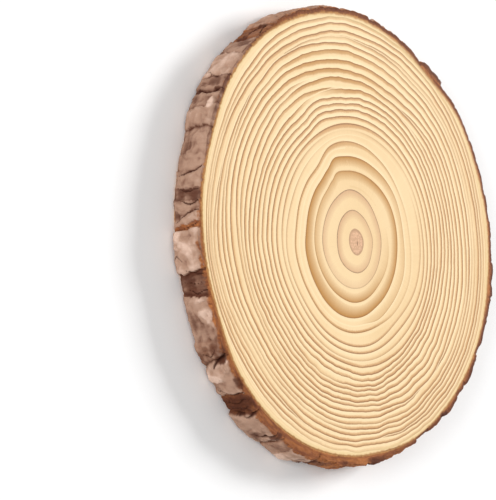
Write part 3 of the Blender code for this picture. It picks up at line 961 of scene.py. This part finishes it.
def bark_wall_form(angle, height):
    """The wall's radius with its fine form, and the looks of each point, over a grid of the whole wall; the
    looks hold painted highlights on humps and painted shade in hollows and cracks.
    """
    jitter = 0.5 * noise_at(angle, height, 45, 7, 4.4)
    radius, plate_of, groove = bark_form(angle + jitter, height)
    core = wood_radius(angle)
    radius = radius + 0.55 * groove * MM
    depth, shade = crack_lines(angle, height)
    tone, bare = np.array(PLATE_LOOKS).T
    tone, bare = tone[plate_of], bare[plate_of]
    x, y = polar(angle, radius / MM)
    z = height / MM
    worn = np.clip(-tone, 0, 1)
    level, hue, border = flakes_at(angle, height, *BROAD_FLAKES)
    fine_level, fine_hue, fine_border = flakes_at(angle, height, *FINE_FLAKES)
    drift = noise_3d(x / 8, y / 8, z / 7)
    lumps = noise_3d(x / 3.6, y / 3.6, z / 3.6 + 5)
    folds = 1 - 2.6 * np.abs(noise_3d(x / 5 + 3, y / 5, z / 6.5 + 17))
    strands = noise_3d(x / 0.9, y / 0.9, z / 7 + 11)
    crumble = noise_3d(x / 1.3, y / 1.3, z / 1.3)
    fine = 0.36 * level * smooth_step(0, 1.1, border)
    fine = fine + 0.08 * fine_level * smooth_step(0, 0.5, fine_border)
    fine = fine + 0.85 * drift + (0.2 + 0.25 * bare) * lumps - 0.3 * np.maximum(folds, 0) ** 2
    fine = fine - (0.05 + 0.42 * worn) * np.abs(strands) + (0.06 + 0.16 * bare) * crumble - depth
    edge = np.minimum(height, THICKNESS - height) / MM
    brown = closed_curve(BROWN_WIDTHS, angle)
    chip = 1 - smooth_step(0, 0.9 + 2.2 * np.clip(crumble + 0.2, 0, 1), edge)
    chip = chip * smooth_step(1, 3, brown)
    fine = fine - chip * (0.25 + 0.3 * np.abs(crumble))
    radius = np.maximum(radius + (fine - 0.4) * MM, core + 0.3 * MM)

    relief_shading = (radius - blurred(radius, *SMOOTHING)) / MM
    tone = tone + 0.1 * hue + 0.06 * fine_hue + 0.4 * drift
    # Worn and stained patches, and painted highlights on the plates
    patches_and_highlights = patch_and_highlight_tone(angle + lumps, z + 1.2 * drift)
    # Painted highlight on the humps and painted shade in the hollows, by how far each point stands above the
    # smoothed wall
    tone = tone + 0.8 * patches_and_highlights + 0.7 * np.clip(relief_shading, -0.9, 0.5)
    down = (THICKNESS - height) / MM + 2 * lumps + crumble
    rind = 1 - smooth_step(-0.7, 0.7, down - closed_curve(BARE_DROPS, angle))
    bare = np.clip(bare + 0.8 * chip + 0.35 * bare * noise_3d(x / 3, y / 3, z / 3 + 2), 0, 1)
    # Painted shade in the hollows, partly the bark's own red-brown there: it makes them redder here and
    # darker through the crack values returned below
    hollow_shade = smooth_step(0.35, 1.2, -relief_shading)
    stain = stain_at(angle + 0.9 * lumps + 0.5 * crumble, z + 1.6 * drift + 0.5 * crumble)
    red = np.maximum(stain, 0.6 * hollow_shade)
    red = np.maximum(red, rind * near(angle, *RED_SIDE) * np.clip(0.5 + lumps, 0.15, 0.8))
    stripes = 0.5 + 0.5 * np.clip(1.6 * strands, -1, 1)
    shade = np.maximum(shade, stain * (0.35 + 0.5 * stripes))
    return radius, tone, np.maximum(bare, rind), red, np.maximum(shade, 0.25 * hollow_shade)


def strip_chart(rows, columns, strips):
    """Texture map of a band round the slice, cut into strips that are stacked."""
    length = columns // strips

    def chart(corner_row, corner_column):
        strip = np.minimum(corner_column.min(axis=1, keepdims=True) // length, strips - 1)
        along = (corner_column - strip * length) / (columns - (strips - 1) * length)
        up = corner_row / (rows - 1)
        return np.stack([inset(along), (strip + inset(up, STRIP_MARGIN)) / strips], axis=-1)

    return chart


def bark_wall(material):
    """The outer bark between the two rims; returns its angle, height, radius and looks at each point."""
    level = np.linspace(0, SOLID_LEVELS, WALL_ROWS + 1)[:, None]
    angle = (np.arange(WALL_COLUMNS) * 360 / WALL_COLUMNS)[None, :]
    angle, level = np.broadcast_arrays(angle, level)
    height = wall_height(angle, level)
    # The crack values hold dark cracks with painted shade, and painted shade in the hollows
    radius, tone, bare, red, crack = bark_wall_form(angle, height)
    values = {"tone": tone, "bare": bare, "red": red, "crack": crack}
    chart = strip_chart(WALL_ROWS + 1, WALL_COLUMNS, CHART_STRIPS)
    grid_piece("bark_wall", placed(angle, radius, height), True, values, chart, material)
    return angle, height, radius, tone, crack


def bark_rim(name, top, material, wall):
    """The sawn ring of bark between the wood's edge and the wall's rim."""
    angle, rim_height, rim_radius, rim_tone, rim_crack_and_shade = (grid[-1 if top else 0] for grid in wall)
    inner = sawn_radius(angle) - RIM_TUCK
    share = (np.arange(RIM_ROWS + 1) / RIM_ROWS)[:, None]
    radius = inner + (rim_radius - inner) * share
    face = THICKNESS - RIM_STEP if top else RIM_STEP
    height = face + (rim_height - face) * share ** 2
    around = angle[None, :] + 0 * radius
    deep = (radius - inner) / MM
    layers = noise_round(around, 22, deep * 1.1)
    x, y = polar(around, radius / MM)
    crumble = noise_3d(x / 1.2, y / 1.2, 3 if top else 8)
    mottle = noise_round(around, 30, deep * 0.45 + (5 if top else 9))
    brown = closed_curve(BROWN_WIDTHS, around) + closed_curve(BROWN_REACH, around)
    calm = np.sin(np.pi * share) ** 0.5 * smooth_step(0.2, 2.5, deep)
    sunk = np.clip(0.12 + 0.25 * layers + 0.35 * crumble, 0, 1) * calm * 0.7 * MM
    height = height - sunk if top else height + sunk
    shut = smooth_step(*OPEN_REACH, np.abs(turned(around, OPEN_SIDE)))
    stain = stain_at(around, RIM_STAIN_HEIGHT) * smooth_step(0.35, 0.75, share) if top else 0
    reddish = smooth_step(-0.15, 0.45, mottle + 0.35 * crumble)
    reddish = np.maximum(0.4 * reddish, (0.45 + 0.4 * reddish) * near(around, *RED_SIDE))
    reddish = stain + reddish * smooth_step(0.5, 1.6, deep)
    folded = 0.9 * shut * smooth_step(2.9, 1.5, (rim_radius - radius) / MM + crumble)
    crack = np.maximum(0.7 * stain, 0.4 * shut * smooth_step(0.45, 1, share))
    # The wall's dark cracks, with their painted shade, run on over the rim
    crack = np.maximum(rim_crack_and_shade * smooth_step(0.3, 0.9, share), crack)
    values = {
        "tone": rim_tone - 0.25 - 0.5 * shut + 0.5 * layers,
        "bare": 1 - smooth_step(-0.6, 0.6, deep - brown + 1.1 * crumble),
        "sappy": 1 - smooth_step(0.2, 1.1 + 0.7 * shut, deep + 0.5 * crumble),
        "red": np.clip(np.maximum(folded, reddish), 0, 1),
        "crack": np.clip(crack, 0, 1),
        "deep": deep,
        "sawn": np.ones(deep.shape),
    }
    chart = strip_chart(RIM_ROWS + 1, WALL_COLUMNS, CHART_STRIPS)
    grid_piece(name, placed(around, radius, height), not top, values, chart, material)


# Stage: floor, light and camera

CAMERA_DISTANCE = 1.2
CAMERA_ELEVATION = 39.31
CAMERA_AIM = (-79.4 * MM, -1.6 * MM)
CAMERA_ROLL = 83.6
FOCAL_PIXELS = 2437.7
FRAME_WIDTH = 496
SENSOR = 36
FLOOR_REACH = 6
FLOOR_DROP = 0.2 * MM
FLOOR_COLOUR = (0.97, 0.97, 0.97, 1)
FLOOR_ROUGHNESS = 0.8
FLOOR_SPECULAR = 0.1
SURROUND_COLOUR = (1, 1, 1, 1)
SURROUND_STRENGTH = 0.5

# Lamps: place, power in watts, and size
KEY_LAMP = ((3.8, 0.65, 2), 176, 1.45)
FILL_LAMP = ((-2.3, 0.5, 1), 33, 1)


def add_camera():
    """The main view: from -X, 39 degrees over the sawn face, rolled so that +Y is up."""
    rise = math.radians(CAMERA_ELEVATION)
    away = CAMERA_DISTANCE * math.cos(rise)
    place = Vector((-away - MIDDLE[0], -MIDDLE[1], THICKNESS + CAMERA_DISTANCE * math.sin(rise)))
    aim = Vector((CAMERA_AIM[0] - MIDDLE[0], CAMERA_AIM[1] - MIDDLE[1], THICKNESS))
    back = (place - aim).normalized()
    right = Vector((0, 0, 1)).cross(back).normalized()
    turn = Matrix((right, back.cross(right), back)).transposed().to_4x4()
    data = bpy.data.cameras.new("camera")
    data.sensor_fit = "HORIZONTAL"
    data.sensor_width = SENSOR
    data.lens = FOCAL_PIXELS / FRAME_WIDTH * SENSOR
    camera = new_object("camera", data)
    roll = Matrix.Rotation(math.radians(CAMERA_ROLL), 4, "Z")
    camera.matrix_world = Matrix.Translation(place) @ turn @ roll
    bpy.context.scene.camera = camera


def add_floor():
    """A wide pale floor just under the slice."""
    mesh = bpy.data.meshes.new("floor")
    corners = [(FLOOR_REACH * x, FLOOR_REACH * y, 0) for x, y in ((-1, -1), (1, -1), (1, 1), (-1, 1))]
    mesh.from_pydata(corners, [], [(0, 1, 2, 3)])
    material, shader = new_material("floor", FLOOR_SPECULAR)
    shader.inputs["Base Color"].default_value = FLOOR_COLOUR
    shader.inputs["Roughness"].default_value = FLOOR_ROUGHNESS
    mesh.materials.append(material)
    floor = new_object("floor", mesh)
    floor.location.z = -FLOOR_DROP


def add_lamp(name, place, power, size):
    """A soft square lamp that looks at the slice."""
    data = bpy.data.lights.new(name, "AREA")
    data.energy = power
    data.size = size
    lamp = new_object(name, data)
    lamp.location = place
    lamp.rotation_euler = Vector(place).to_track_quat("Z", "Y").to_euler()


def add_light():
    """A pale surround and a soft key lamp on the far upper right of the picture."""
    world = bpy.data.worlds.new("studio")
    world.use_nodes = True
    inputs = world.node_tree.nodes["Background"].inputs
    inputs["Color"].default_value = SURROUND_COLOUR
    inputs["Strength"].default_value = SURROUND_STRENGTH
    bpy.context.scene.world = world
    add_lamp("key", *KEY_LAMP)
    add_lamp("fill", *FILL_LAMP)


def main():
    bpy.context.scene.view_settings.view_transform = "Standard"
    wood = surface("wood", wood_look, WOOD_SPECULAR, WOOD_RELIEF)
    bark = surface("bark", bark_look, BARK_SPECULAR, BARK_RELIEF)
    wood_face("wood_top", True, wood)
    wood_face("wood_bottom", False, wood)
    wall = bark_wall(bark)
    bark_rim("bark_rim_top", True, bark, wall)
    bark_rim("bark_rim_bottom", False, bark, wall)
    add_floor()
    add_light()
    add_camera()


main()
